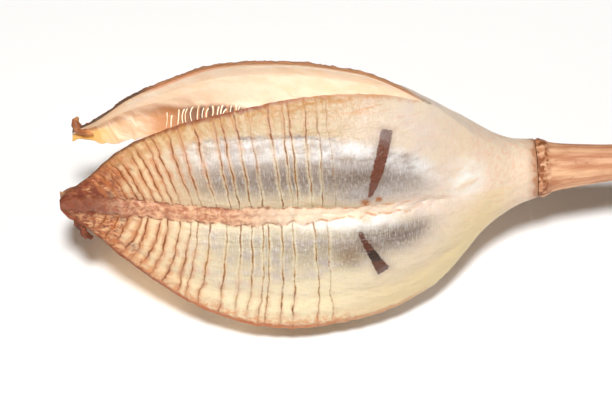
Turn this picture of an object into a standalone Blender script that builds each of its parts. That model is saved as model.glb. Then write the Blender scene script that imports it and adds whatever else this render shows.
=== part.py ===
"""A dried tulip seed capsule lying on its side, with the cut end of its stem and four seeds left in it.

The capsule is one dry fruit wall in three valves. They are joined at the neck and split apart towards the
tip. Each valve carries a plate on its inner middle, the septum, and thin cross veins on its outside.
Lengths are in millimetres here, and the meshes are made in metres. Distance along the capsule is counted
from the collar, where the stem joins, towards the tip. Each valve has its own cross frame: p runs across
the valve, and q runs outward from the capsule's axis.
"""

import math

import bmesh
import bpy
import numpy as np

MM = 0.001

CAPSULE_LENGTH = 50.0
NECK_LENGTH = 11.0
CAVITY_START = 7.0
STEM_LENGTH = 15.0
WALL = 1.0
MARGIN_FACE = 0.95
SEPTUM_THICKNESS = 0.8
REST_FLAT_DEPTH = 0.35
MATING_GAP = 0.3

VEIN_FIRST = 21.4
VEIN_COUNT = 16
VEIN_PITCH = 1.42
VEIN_HALF_WIDTH = 0.27
VEIN_HEIGHT = 0.22
CORD_HEIGHT = 0.55
NET_HEIGHT = 0.16

# Share of the half width, from the middle of a valve out to its margin.
OUTER_ROWS = (0.07, 0.18, 0.32, 0.46, 0.62, 0.8, 1.0)
INNER_ROWS = (0.26, 0.44, 0.62, 0.8, 1.0)

NECK_COLUMNS = (0.0, 0.9, 2.2, 3.8, 5.4, CAVITY_START, 9.0, NECK_LENGTH)
BODY_COLUMNS = (12.2, 13.8, 15.6, 17.4, 19.2)
TIP_COLUMNS = (44.6, 45.8, 47.0, 48.2, 49.3, CAPSULE_LENGTH)

# Each pair is a distance from the collar and the value there.
CORNER_RADIUS = (
    (0, 3.1), (2, 3.5), (4, 4.45), (6, 6.0), (8, 8.2), (10, 10.35), (12, 11.9), (16, 13.7),
    (20, 14.5), (25, 14.75), (30, 14.05), (35, 12.5), (40, 9.8), (44, 6.7), (46, 4.6), (48, 2.75), (50, 1.45),
)
GROOVE_SHARE = ((0, 1.0), (10, 0.64), (20, 0.6), (30, 0.57), (44, 0.57), (50, 0.62))
BULGE_SHARE = ((0, 0.0), (6, 0.04), (12, 0.16), (19, 0.185), (28, 0.17), (38, 0.14), (46, 0.09), (50, 0.0))
RIB_WANDER = ((0, 0.0), (14, -0.1), (20, -0.3), (30, -0.95), (38, -0.65), (44, -0.3), (50, 0.0))
SAG = ((0, 0.0), (4, 0.36), (7, 0.28), (12, 0.08), (19, 0.2), (30, 0.32), (44, 0.0), (50, 0.0))
VEIN_LEAN = ((0, 0.0), (21, 0.0), (30, 1.3), (36, 2.5), (42, 3.0), (46, 1.8), (50, 0.0))
SEPTUM_DEPTH = ((7, 1.9), (12, 5.0), (20, 4.4), (28, 2.5), (35, 1.2), (42, 0.9), (47, 0.5), (50, 0.25))

SPECKLE = np.random.default_rng(7)


class Valve:
    """One of the three valves: where it faces and how far it has opened and curled."""

    def __init__(self, name, facing, opening, drift, narrowing, flare, near_bulge, shortfall):
        self.name = name
        self.outward = (math.cos(math.radians(facing)), math.sin(math.radians(facing)))
        self.across = (-self.outward[1], self.outward[0])
        self.drift = smooth_curve(drift)
        self.narrowing = smooth_curve(narrowing)
        self.flare = flare
        self.near_bulge = near_bulge
        self.line, self.rise, self.turn = bent_line(smooth_curve(opening), shortfall)


def smooth_curve(stations):
    """A smooth function through (distance, value) pairs that never overshoots them, level beyond its ends."""
    at, value = (np.array(column, float) for column in zip(*stations))
    secant = np.diff(value) / np.diff(at)
    before, after = secant[:-1], secant[1:]
    steady = before * after > 0
    middle = np.where(steady, 2 * before * after / np.where(steady, before + after, 1), 0)
    slope = np.concatenate([secant[:1], middle, secant[-1:]])

    def read(s):
        s = np.clip(np.asarray(s, float), at[0], at[-1])
        i = np.clip(np.searchsorted(at, s, side="right") - 1, 0, len(at) - 2)
        span = at[i + 1] - at[i]
        t = (s - at[i]) / span
        start = value[i] * (1 + 2 * t) * (1 - t) ** 2 + slope[i] * span * t * (1 - t) ** 2
        end = value[i + 1] * t * t * (3 - 2 * t) - slope[i + 1] * span * t * t * (1 - t)
        return start + end

    return read


def ramp(x, start, end):
    """0 before start and 1 after end, smooth in between."""
    t = np.clip((np.asarray(x, float) - start) / (end - start), 0, 1)
    return t * t * (3 - 2 * t)


def bent_line(opening, shortfall):
    """The valve's own axis once it has bent outward above the neck: length along, rise outward, and turn."""
    at = np.linspace(0, CAPSULE_LENGTH, 501)
    turn = np.radians(opening(at))
    step = at[1] - at[0]
    along = np.concatenate([[0], np.cumsum(np.cos(turn[1:]) * step)]) - shortfall * ramp(at, 26, 50)
    rise = np.concatenate([[0], np.cumsum(np.sin(turn[1:]) * step)])
    return [lambda s, values=values: np.interp(s, at, values) for values in (along, rise, turn)]


corner_radius = smooth_curve(CORNER_RADIUS)
groove_share = smooth_curve(GROOVE_SHARE)
bulge_share = smooth_curve(BULGE_SHARE)
rib_wander = smooth_curve(RIB_WANDER)
sag = smooth_curve(SAG)
vein_lean = smooth_curve(VEIN_LEAN)
septum_depth = smooth_curve(SEPTUM_DEPTH)


LEVEL = ((0, 0.0), (CAPSULE_LENGTH, 0.0))
EVEN = ((0, 1.0), (CAPSULE_LENGTH, 1.0))
FRONT_DRIFT = ((0, 0.0), (10, 0.0), (22, 0.25), (30, 0.5), (38, 0.1), (43, -0.35), (48, -0.1), (50, 0.0))
BACK_NARROWING = ((0, 1.0), (11, 1.0), (34, 1.0), (41, 0.88), (46, 0.95), (50, 1.0))
FRONT_OPENING = ((0, 0.0), (8, 0.0), (15, 2.0), (50, 2.0))
UNDER_OPENING = ((0, 0.0), (8, 0.0), (15, -1.0), (50, -1.0))
BACK_OPENING = ((0, 0.0), (8, 0.0), (15, 8.5), (24, 11.5), (34, 10.0), (42, 5.5), (50, 4.0))
VALVES = (
    Valve("front", 150, FRONT_OPENING, FRONT_DRIFT, EVEN, 0.0, 1.0, 0.0),
    Valve("under", 270, UNDER_OPENING, LEVEL, EVEN, 0.0, 1.0, 0.0),
    Valve("back", 30, BACK_OPENING, LEVEL, BACK_NARROWING, 0.8, 0.35, 1.1),
)


def outer_section(valve, s, v):
    """(p, q) of the valve's smooth outer face at distance s and at v, from -1 to 1 across the valve."""
    w = np.abs(v)
    radius = corner_radius(s) * valve.narrowing(s)
    angle = np.radians(60) * v
    groove = groove_share(s) * radius
    edge = 0.5 * radius
    bulge = bulge_share(s) * radius * np.where(v < 0, 1.0, valve.near_bulge)
    q = groove + (edge - groove) * w + bulge * np.sin(np.pi * w**0.8)
    q = q - 0.02 * radius * np.exp(-(((w - 0.68) / 0.07) ** 2))
    p = radius * math.sin(math.radians(60)) * v
    flat = ramp(s, 1.5, 13)
    p = (1 - flat) * radius * np.sin(angle) + flat * p
    q = (1 - flat) * radius * np.cos(angle) + flat * q
    q = q + valve.flare * ramp(w, 0.62, 1.05) * ramp(v, 0, 0.1) * ramp(s, 12, 20) * (1 - ramp(s, 38, 48))
    return p + rib_wander(s) * (1 - w) ** 2, q


def inner_section(valve, s, v):
    """(p, q) of the inner face, one wall thickness in, meeting the margin's face at v = -1 and 1."""
    if abs(v) == 1.0:
        p, q = outer_section(valve, s, v)
        share = 1 - MARGIN_FACE / math.hypot(p, q) * float(1 - 0.4 * ramp(s, 40, 50))
        return p * share, q * share
    step = 0.01
    p0, q0 = outer_section(valve, s, v - step)
    p1, q1 = outer_section(valve, s, v + step)
    length = math.hypot(p1 - p0, q1 - q0)
    normal = (-(q1 - q0) / length, (p1 - p0) / length)
    p, q = outer_section(valve, s, v)
    wall = WALL * float(1 - 0.3 * ramp(s, 42, 50)) + (0.35 if abs(v) == INNER_ROWS[0] else 0.0)
    return p - wall * normal[0], q - wall * normal[1]


def septum_section(valve, s, side):
    """(p, q) of a side and of the inner edge of the septum, on the side of v given by its sign."""
    p, q = outer_section(valve, s, 0.0)
    half = side * SEPTUM_THICKNESS / 2
    root = q - WALL * 1.6 * float(1 - 0.45 * ramp(s, 42, 50))
    depth = float(septum_depth(s))
    return (p + half * 1.1, root - 0.35 * depth), (p + half * 0.85, root - depth)


def place(valve, s, p, q):
    """A valve's (p, q) at distance s as a point of the whole capsule, before it is set down."""
    turn = float(valve.turn(s))
    outward = float(valve.rise(s)) + q * math.cos(turn)
    across = p + float(valve.drift(s))
    return (
        -float(valve.line(s)) + q * math.sin(turn),
        outward * valve.outward[0] + across * valve.across[0] - 0.766 * float(sag(s)),
        outward * valve.outward[1] + across * valve.across[1] - 0.643 * float(sag(s)),
    )


def relief(s, v, vein):
    """How far the surface stands out: cross veins, the cord on the middle rib, and the net at the tip."""
    w = abs(v)
    height = VEIN_HEIGHT * vein * float(ramp(w, 0.05, 0.18)) * (1 - 0.5 * float(ramp(w, 0.85, 1.0)))
    height *= 0.3 + 0.7 * float(ramp(s, VEIN_FIRST - 1, VEIN_FIRST + 5))
    if w < 0.02:
        height += CORD_HEIGHT * float(ramp(s, 9, 16)) * (1 - 0.6 * float(ramp(s, 46, 50)))
        height += float(SPECKLE.uniform(-0.1, 0.1)) * float(ramp(s, 22, 26))
    if w < 0.95:
        height += float(SPECKLE.uniform(-1, 1)) * NET_HEIGHT * float(ramp(s, 40, 45))
    return height


def columns():
    """(distance, how much of a vein's crest, whether the inner face has this column too), collar to tip."""
    found = [(s, 0, True) for s in NECK_COLUMNS + BODY_COLUMNS]
    for n in range(VEIN_COUNT):
        crest = VEIN_FIRST + n * VEIN_PITCH
        found += [(crest - VEIN_HALF_WIDTH, 0, False), (crest, 1, True), (crest + VEIN_HALF_WIDTH, 0, False)]
    return found + [(s, 0, True) for s in TIP_COLUMNS]


def opening_gap(s):
    """How far a margin has shrunk back from the line that it split along."""
    return 0.22 * float(ramp(s, NECK_LENGTH, NECK_LENGTH + 2.5))


def leaning(s, v):
    """Where a column lies at v: towards the margins it leans to the tip."""
    return float(s + vein_lean(s) * abs(v) ** 1.2)


class CapsuleMesh:
    """Gathers the capsule's points and faces, sharing the points where two valves are still joined."""

    def __init__(self, valves):
        self.valves = valves
        self.points = []
        self.faces = []
        self.columns = columns()
        self.split = [s for s, _, _ in self.columns].index(NECK_LENGTH)
        self.cavity = [s for s, _, _ in self.columns].index(CAVITY_START)
        self.outer_v = [-w for w in reversed(OUTER_ROWS)] + [0.0] + list(OUTER_ROWS)
        self.outer = {}
        self.inner = {}

    def add(self, point):
        self.points.append(point)
        return len(self.points) - 1

    def outer_point(self, valve, s, v, vein):
        at = leaning(s, v)
        p, q = (float(x) for x in outer_section(valve, at, v))
        q += relief(at, v, vein)
        p -= math.copysign(opening_gap(at), v) if abs(v) == 1.0 else 0.0
        return place(valve, at, p, q)

    def inner_points(self, valve, s):
        """The inner face of a valve at one column, from margin v = -1, round the septum, to v = 1."""
        found = []
        for side in (-1, 1):
            half = []
            for w in reversed(INNER_ROWS):
                at = leaning(s, w)
                p, q = (float(x) for x in inner_section(valve, at, side * w))
                p -= side * opening_gap(at) if w == 1.0 else 0.0
                half.append(place(valve, at, p, q))
            half += [place(valve, s, float(p), float(q)) for p, q in septum_section(valve, s, side)]
            found += half if side < 0 else half[::-1]
        return found

    def make_points(self):
        for i, (s, vein, both) in enumerate(self.columns):
            for k, valve in enumerate(self.valves):
                self.outer[i, k] = [self.outer_point(valve, s, v, vein) for v in self.outer_v]
                if both and i >= self.cavity:
                    self.inner[i, k] = self.inner_points(valve, s)
            for rows in (self.outer, self.inner):
                if (i, 0) in rows:
                    self.index_column(rows, i)

    def index_column(self, rows, i):
        """Turns one column's positions into point numbers. Joined margins share one, halfway between."""
        joined = i <= self.split
        for k in range(3):
            nearby = rows[i, (k + 1) % 3]
            if joined:
                shared = tuple((a + b) / 2 for a, b in zip(rows[i, k][-1], nearby[0]))
                rows[i, k][-1] = nearby[0] = shared
        for k in range(3):
            first = 1 if joined else 0
            rows[i, k][first:] = [self.add(point) for point in rows[i, k][first:]]
        if joined:
            for k in range(3):
                rows[i, (k + 1) % 3][0] = rows[i, k][-1]

    def sheet(self, rows, a, b, k):
        for j in range(len(rows[a, k]) - 1):
            self.faces.append([rows[a, k][j], rows[a, k][j + 1], rows[b, k][j + 1], rows[b, k][j]])

    def make_faces(self):
        last = len(self.columns) - 1
        inner_columns = [i for i, column in enumerate(self.columns) if column[2] and i >= self.cavity]
        for k in range(3):
            for i in range(last):
                self.sheet(self.outer, i, i + 1, k)
            for a, b in zip(inner_columns, inner_columns[1:]):
                self.sheet(self.inner, a, b, k)
                if a >= self.split:
                    self.margin_faces(a, b, k)
            self.tip_faces(last, k)
        self.faces.append([n for k in range(3) for n in self.outer[0, k][:-1]])
        self.faces.append([n for k in range(3) for n in self.inner[self.cavity, k][:-1]])

    def margin_faces(self, a, b, k):
        for row in (0, -1):
            edge = [self.outer[i, k][row] for i in range(a, b + 1)]
            self.faces.append(edge + [self.inner[b, k][row], self.inner[a, k][row]])

    def tip_faces(self, i, k):
        outer, inner = self.outer[i, k], self.inner[i, k]
        middle = len(outer) // 2
        for j in range(middle - 1):
            self.faces.append([outer[j], outer[j + 1], inner[j + 1], inner[j]])
            self.faces.append([outer[-1 - j], outer[-2 - j], inner[-2 - j], inner[-1 - j]])
        self.faces.append(outer[middle - 1 : middle + 2] + [inner[middle], inner[middle - 1]])


def mesh_object(name, points, faces, material):
    """A closed mesh object, in metres, from points in millimetres."""
    mesh = bpy.data.meshes.new(name)
    shape = bmesh.new()
    made = [shape.verts.new([x * MM for x in point]) for point in points]
    for face in faces:
        shape.faces.new([made[n] for n in face])
    bmesh.ops.recalc_face_normals(shape, faces=shape.faces)
    shape.to_mesh(mesh)
    shape.free()
    mesh.shade_smooth()
    mesh.set_sharp_from_angle(angle=math.radians(35))
    mesh.materials.append(material)
    made_object = bpy.data.objects.new(name, mesh)
    bpy.context.scene.collection.objects.link(made_object)
    return made_object


def plain_material(name, colour, roughness):
    material = bpy.data.materials.new(name)
    material.use_nodes = True
    surface = material.node_tree.nodes["Principled BSDF"]
    surface.inputs["Base Color"].default_value = (*colour, 1)
    surface.inputs["Roughness"].default_value = roughness
    surface.inputs["Metallic"].default_value = 0.0
    return material


def tube(name, path, radii, sides, material):
    """A closed tube along a path of points, with a radius at each. Its first turn starts at the top."""
    path = [np.array(point, float) for point in path]
    points = []
    for i, (point, radius) in enumerate(zip(path, radii)):
        along = path[min(i + 1, len(path) - 1)] - path[max(i - 1, 0)]
        along /= np.linalg.norm(along)
        side = np.cross(along, (0, 0, 1))
        side /= np.linalg.norm(side)
        up = np.cross(side, along)
        for n in range(sides):
            angle = 2 * math.pi * n / sides
            points.append(tuple(point + radius * (math.cos(angle) * up + math.sin(angle) * side)))
    faces = []
    for i in range(len(path) - 1):
        for n in range(sides):
            a, b = i * sides + n, i * sides + (n + 1) % sides
            faces.append([a, b, b + sides, a + sides])
    faces.append(list(range(sides)))
    faces.append(list(range(len(points) - sides, len(points))))
    return mesh_object(name, points, faces, material)


# The collar's ring and the taper of the stem: distance from the capsule, and radius.
STEM_PROFILE = (
    (0.0, 3.05), (0.45, 3.2), (0.95, 3.05), (1.4, 2.75), (2.6, 2.52), (5.0, 2.25), (8.0, 2.0), (11.5, 1.93),
    (STEM_LENGTH - 0.3, 1.93), (STEM_LENGTH, 1.8),
)
STEM_SIDES = 18
STEM_BEND = 0.3


def stem(material):
    """The cut stalk. It runs straight on from the neck, a little bent, and ends in a plain cut."""
    path = []
    for x, _ in STEM_PROFILE:
        path.append((x + MATING_GAP, STEM_BEND * (x / STEM_LENGTH) ** 2, 0.0))
    return tube("stem", path, [radius for _, radius in STEM_PROFILE], STEM_SIDES, material)


class Seed:
    """A flat seed, its plane across the capsule and its round edge pressed to a valve's wall."""

    def __init__(self, name, valve, at, across, slant, depth):
        self.name = name
        self.valve = valve
        self.at = at
        self.across = across
        self.slant = slant
        self.depth = depth


SEED_THICKNESS = 0.85
SEED_CLEARANCE = 0.7
SEED_EDGE_POINTS = 9


def seed_outline(seed):
    """(p, q) points of the flat seed: along the wall, then round its inner side."""
    start, end = seed.across
    centre = (start + end) / 2
    half = (end - start) / 2
    middle = float(inner_section(seed.valve, seed.at, centre)[0])
    wall = []
    for n in range(SEED_EDGE_POINTS):
        v = start + (end - start) * n / (SEED_EDGE_POINTS - 1)
        p, q = (float(x) for x in inner_section(seed.valve, seed.at, v))
        at = seed.at + seed.slant * (p - middle)
        q = min(float(inner_section(seed.valve, at + side, v)[1]) for side in (-SEED_THICKNESS, SEED_THICKNESS))
        end_drop = 1.1 * abs((v - centre) / half) ** 4
        wall.append((p, q - SEED_CLEARANCE - end_drop))
    (p_first, q_first), (p_last, q_last) = wall[0], wall[-1]
    inner = []
    for n in range(1, SEED_EDGE_POINTS - 1):
        t = n / (SEED_EDGE_POINTS - 1)
        p = p_last + (p_first - p_last) * (t - 0.08 * math.sin(2 * math.pi * t))
        q = q_last + (q_first - q_last) * t - seed.depth * math.sin(math.pi * t) ** 0.7
        inner.append((p, q))
    return wall + inner


def seed_object(seed, material):
    """The seed's plate: a flat middle and a rim that thins a little towards the edge."""
    outline = seed_outline(seed)
    middle_p = sum(p for p, _ in outline) / len(outline)
    middle_q = sum(q for _, q in outline) / len(outline)
    points, faces = [], []
    rings = ((1.0, 0.36), (0.82, 0.5))
    for side in (-1, 1):
        for share, thickness in rings:
            for p, q in outline:
                p = middle_p + share * (p - middle_p)
                q = middle_q + share * (q - middle_q)
                s = seed.at + seed.slant * (p - middle_p) + side * thickness * SEED_THICKNESS
                points.append(place(seed.valve, s, p, q))
    count = len(outline)
    for n in range(count):
        m = (n + 1) % count
        rim_low, flat_low, rim_high, flat_high = (ring * count for ring in range(4))
        faces.append([rim_low + n, rim_low + m, rim_high + m, rim_high + n])
        faces.append([rim_low + n, rim_low + m, flat_low + m, flat_low + n])
        faces.append([rim_high + n, rim_high + m, flat_high + m, flat_high + n])
    faces.append(list(range(count, 2 * count)))
    faces.append(list(range(3 * count, 4 * count)))
    return mesh_object(seed.name, points, faces, material)


STIGMA_AT = 48.1
STIGMA_PATH = ((0.2, -0.75), (0.3, -0.1), (-0.2, 0.5), (-0.4, 1.2), (-1.15, 1.8))
STIGMA_RADII = (0.4, 0.5, 0.42, 0.46, 0.3)


def stigma_lobe(valve, material):
    """The shrivelled lobe of the stigma, which hangs from the margin by the tip of the front valve."""
    p, q = (float(x) for x in outer_section(valve, STIGMA_AT, 1.0))
    path = [place(valve, STIGMA_AT + along, p + across, q - 0.5) for along, across in STIGMA_PATH]
    return tube("stigma_lobe", path, STIGMA_RADII, 7, material)


def join_to(body, piece):
    """Fuses a piece into a body and removes the piece."""
    union = body.modifiers.new("union", "BOOLEAN")
    union.operation = "UNION"
    union.solver = "EXACT"
    union.object = piece
    graph = bpy.context.evaluated_depsgraph_get()
    fused = bpy.data.meshes.new_from_object(body.evaluated_get(graph))
    body.modifiers.clear()
    body.data = fused
    bpy.data.objects.remove(piece)


def set_down(made):
    """Flattens the lowest spots of the underside a little and stands the object's box on the origin."""
    capsule = made[0]
    floor = min(vertex.co.z for vertex in capsule.data.vertices) + REST_FLAT_DEPTH * MM
    for vertex in capsule.data.vertices:
        vertex.co.z = max(vertex.co.z, floor)
    corners = np.array([vertex.co[:] for piece in made for vertex in piece.data.vertices])
    low, high = corners.min(axis=0), corners.max(axis=0)
    for piece in made:
        piece.location = (-(low[0] + high[0]) / 2, -(low[1] + high[1]) / 2, -floor)


def main():
    for old in list(bpy.data.objects):
        bpy.data.objects.remove(old)
    dry_wall = plain_material("dry_wall", (0.83, 0.72, 0.52), 0.45)
    stalk = plain_material("stalk", (0.62, 0.36, 0.2), 0.6)
    seed_coat = plain_material("seed_coat", (0.34, 0.12, 0.05), 0.5)

    front, under, back = VALVES
    shape = CapsuleMesh((front, under, back))
    shape.make_points()
    shape.make_faces()
    capsule = mesh_object("capsule", shape.points, shape.faces, dry_wall)
    join_to(capsule, stigma_lobe(front, dry_wall))

    seeds = (
        Seed("seed_upper", front, 16.4, (-0.64, -0.18), 0.36, 4.4),
        Seed("seed_lower", front, 17.9, (0.22, 0.6), -0.35, 4.0),
        Seed("seed_middle", front, 21.6, (0.2, 0.54), 0.1, 3.8),
        Seed("seed_neck", front, 12.4, (0.2, 0.5), 0.3, 3.0),
    )
    made = [capsule, stem(stalk)]
    made += [seed_object(seed, seed_coat) for seed in seeds]
    set_down(made)


main()
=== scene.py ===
"""Looks for the dried tulip seed capsule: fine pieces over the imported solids, materials, lamps and camera.

The fine capsule repeats the solid's formulas, with finer relief, rounder tips and a deeper back septum.
Lengths are in millimetres until a mesh is made. Distance s runs from the collar to the tip, p across a valve
and q outward. v is the share across a valve, from one margin at -1 to the other at 1, and w is its size.
"""

import math

import bpy
import numpy as np
from mathutils import Matrix, Vector

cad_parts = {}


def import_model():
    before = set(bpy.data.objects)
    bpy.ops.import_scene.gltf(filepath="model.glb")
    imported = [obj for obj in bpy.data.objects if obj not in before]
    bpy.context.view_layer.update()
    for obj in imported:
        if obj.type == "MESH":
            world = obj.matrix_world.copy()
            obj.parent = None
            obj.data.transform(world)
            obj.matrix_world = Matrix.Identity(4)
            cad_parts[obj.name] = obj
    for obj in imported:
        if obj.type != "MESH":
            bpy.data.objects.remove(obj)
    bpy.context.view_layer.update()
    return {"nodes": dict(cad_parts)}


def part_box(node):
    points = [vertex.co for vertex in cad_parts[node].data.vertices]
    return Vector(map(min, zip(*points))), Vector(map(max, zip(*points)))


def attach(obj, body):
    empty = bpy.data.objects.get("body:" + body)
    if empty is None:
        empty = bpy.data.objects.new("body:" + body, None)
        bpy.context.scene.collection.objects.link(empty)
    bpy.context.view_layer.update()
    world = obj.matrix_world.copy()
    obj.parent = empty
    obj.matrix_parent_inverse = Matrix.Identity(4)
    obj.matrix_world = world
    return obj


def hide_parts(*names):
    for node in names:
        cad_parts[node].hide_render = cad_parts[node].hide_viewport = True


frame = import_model()

MM = 0.001
LENGTH = 50.0
# Where the valves split apart, and where the hollow begins.
SPLIT = 11.0
CAVITY = 7.0
# A valve's half width as a share of the corner radius.
HALF_SHARE = math.sin(math.radians(60))
# From one valve's noise to the next one's.
VALVE_SHIFT = 37.0
# A distance that counts as nowhere near.
FAR_OFF = 9.0
# How much of the sag goes along y and z: it is straight down in the photograph.
SAG_Y, SAG_Z = 0.766, 0.643
NOISE = np.random.default_rng(11)

CORNER_RADIUS = (
    (0, 3.1), (2, 3.5), (4, 4.45), (6, 6.0), (8, 8.2), (10, 10.35), (12, 11.9), (16, 13.7), (20, 14.5),
    (25, 14.75), (30, 14.05), (35, 12.5), (40, 9.8), (44, 6.7), (46, 4.6), (48, 2.75), (50, 1.45),
)
GROOVE_SHARE = ((0, 1.0), (10, 0.64), (20, 0.6), (30, 0.57), (44, 0.57), (50, 0.62))
BULGE_SHARE = ((0, 0.0), (6, 0.04), (12, 0.16), (19, 0.185), (28, 0.17), (38, 0.14), (46, 0.09), (50, 0.0))
RIB_WANDER = ((0, 0.0), (14, -0.1), (20, -0.3), (30, -0.95), (38, -0.65), (44, -0.3), (50, 0.0))
SAG = ((0, 0.0), (4, 0.36), (7, 0.28), (12, 0.08), (19, 0.2), (30, 0.32), (44, 0.0), (50, 0.0))
VEIN_LEAN = ((0, 0.0), (21, 0.0), (30, 1.3), (36, 2.6), (41, 3.3), (45, 2.6), (50, 0.3))
STEM_LENGTH = 15.0
STEM_RADIUS = (
    (0.0, 3.05), (0.35, 3.14), (0.8, 2.98), (1.3, 2.7), (2.6, 2.46), (5.0, 2.2), (8.0, 1.96), (11.5, 1.89),
    (14.6, 1.89), (15.0, 1.7),
)
SEPTUM_DEPTH = ((7, 1.9), (12, 5.0), (20, 4.4), (28, 2.5), (35, 1.2), (42, 0.9), (47, 0.5), (50, 0.25))
# Places across the inner face: on the wall, in the cove where it turns in, and down the septum's plate.
WALL_W = np.array([1.0, 0.97, 0.9, 0.8, 0.7, 0.6, 0.5, 0.42, 0.35])
COVE_T = np.array([0.25, 0.5, 0.75, 1.0])
PLATE_T = np.array([0.3, 0.6, 0.85, 1.0])
# How far each valve drifts sideways, narrows and opens, in degrees, along its length.
LEVEL = ((0, 0.0), (LENGTH, 0.0))
EVEN = ((0, 1.0), (LENGTH, 1.0))
FRONT_DRIFT = ((0, 0.0), (10, 0.0), (22, 0.25), (30, 0.5), (38, 0.1), (43, -0.35), (48, -0.1), (50, 0.0))
BACK_NARROWING = ((0, 1.0), (11, 1.0), (34, 1.0), (41, 0.88), (46, 0.95), (50, 1.0))
FRONT_OPENING = ((0, 0.0), (8, 0.0), (15, 2.0), (50, 2.0))
UNDER_OPENING = ((0, 0.0), (8, 0.0), (15, -1.0), (50, -1.0))
BACK_OPENING = ((0, 0.0), (8, 0.0), (15, 8.5), (24, 11.5), (34, 10.0), (42, 5.5), (50, 4.0))

# Where the cross veins leave the rib, on the side towards the top slit and on the other side.
UPPER_VEINS = (
    21.8, 22.8, 24.0, 25.4, 25.9, 27.0, 28.9, 30.1, 31.3, 32.0, 33.6, 35.0, 35.9, 37.2, 37.9, 38.8, 39.6,
    40.7, 41.4, 42.5, 43.3, 44.6, 46.0,
)
LOWER_VEINS = (
    22.7, 23.8, 26.1, 27.2, 28.6, 29.1, 30.2, 31.3, 32.7, 34.4, 35.6, 36.3, 37.4, 38.6, 39.4, 40.5, 41.3,
    42.6, 43.5, 44.9, 46.3,
)
# How far across the half valve the silvery skin reaches.
UPPER_CREASE = ((6, 0.2), (9, 0.36), (14.7, 0.56), (25, 0.7), (33.6, 0.78), (50, 0.8))
LOWER_CREASE = ((6, 0.2), (9, 0.3), (14.7, 0.42), (25, 0.52), (33, 0.6), (50, 0.65))
# Seeds seen edge-on through the front valve: (s, p) at both ends, then half the width along them.
SEED_STRIPS = (
    ((15.9, -8.5), (18.2, -1.9), (0.6, 0.6, 0.2)),
    ((19.4, 1.6), (17.1, 6.2), (0.2, 0.46, 0.7)),
)
# Painted shade where the dark hollow shows through the wall, along each half of a valve, and how far across
# that lies.
UPPER_HOLLOW_SHADE = (
    (0, 0.0), (9, 0.0), (13, 0.75), (19, 1.0), (22, 0.85), (26, 0.9), (34, 0.75), (39, 0.15), (50, 0.0),
)
LOWER_HOLLOW_SHADE = ((0, 0.0), (9, 0.0), (13, 1.0), (18, 1.0), (21, 0.7), (30, 0.4), (38, 0.0), (50, 0.0))
UPPER_DARK_AT, UPPER_DARK_REACH = 0.37, 0.18
LOWER_DARK_AT, LOWER_DARK_REACH = 0.23, 0.15

# Colours as the eye sees them, from 0 to 255: the base, the neck and the flanges.
BASE_PINK, BASE_CREAM, NECK_CREAM, PALE = (228, 208, 194), (230, 210, 188), (244, 216, 186), (248, 238, 224)
BASE_YELLOW, SCAR, NECK_BLUSH = (234, 208, 152), (176, 106, 56), (238, 192, 160)
UPPER_FLANGE, LOWER_FLANGE, PEACH = (204, 180, 140), (250, 230, 190), (240, 206, 162)
# The silvery skin over the hollow, with its painted shade and painted highlights.
SILVER_LOW, SILVER_HIGH, SILVER_BELOW = (182, 164, 150), (216, 202, 188), (222, 206, 174)
LILAC, LILAC_DARK, SHADE_DEEP, SHADE_PALE = (196, 186, 184), (120, 106, 110), (104, 84, 74), (142, 124, 112)
TAN, ORANGE, HALO, HIGHLIGHT_WHITE = (200, 152, 98), (222, 150, 94), (248, 234, 196), (244, 242, 242)
WHITEST = (255, 255, 255)
# The net, the cross veins, the rib, the margins and their marks, and a white for a thread and for a painted
# highlight.
CELL_DARK, CELL_PALE, NET_BROWN, TIP_RED = (186, 100, 58), (244, 188, 136), (104, 46, 22), (122, 50, 26)
VEIN_BROWN, VEIN_OLIVE, VEIN_SOFT = (130, 68, 24), (160, 112, 40), (204, 124, 68)
RIB_DARK, RIB_PALE, RIB_PINK, RIB_EDGE = (188, 112, 78), (242, 188, 148), (254, 230, 202), (150, 84, 52)
MARGIN_BROWN, MARGIN_TAN, MARGIN_ORANGE = (104, 56, 28), (196, 132, 80), (184, 104, 54)
RIM_TAN, RIM_WARM, RIM_ORANGE, NEAR_RIB = (240, 210, 176), (236, 162, 118), (255, 166, 116), (244, 220, 182)
MARGIN_RED, BRUISE, SPOT, THREAD_AND_HIGHLIGHT_WHITE = (142, 70, 36), (140, 112, 84), (176, 106, 52), (255, 252, 246)
# The inner face with painted shade in its pocket and behind the fibres, and the seeds as they show through
# the wall.
INSIDE_CREAM, INSIDE_PEACH, POCKET_SHADE_TAN, GOLD = (252, 240, 224), (249, 230, 208), (198, 154, 110), (236, 178, 78)
FIBRE_GAP_SHADE, FIBRE_GAP_SHADE_TAN = (92, 52, 22), (178, 122, 74)
SEED_GREY, SEED_RED, SEED_ORANGE, SEED_BLACK = (132, 108, 102), (110, 54, 28), (156, 80, 38), (26, 16, 16)
# The stalk, the seeds and the small dry pieces.
STALK_DARK, STALK_PALE, STALK_FLECK = (192, 122, 82), (244, 192, 150), (172, 112, 80)
COLLAR_BROWN, COLLAR_SPOT = (150, 82, 36), (140, 78, 34)
COAT_PALE, COAT_DARK = (150, 82, 48), (104, 58, 40)
FIBRE_DARK, FIBRE_PALE = (236, 220, 190), (255, 248, 234)
STIGMA_DARK, STIGMA_PALE = (92, 44, 26), (160, 84, 52)
HOOK_DARK, HOOK_PALE = (150, 84, 46), (214, 150, 96)


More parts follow.
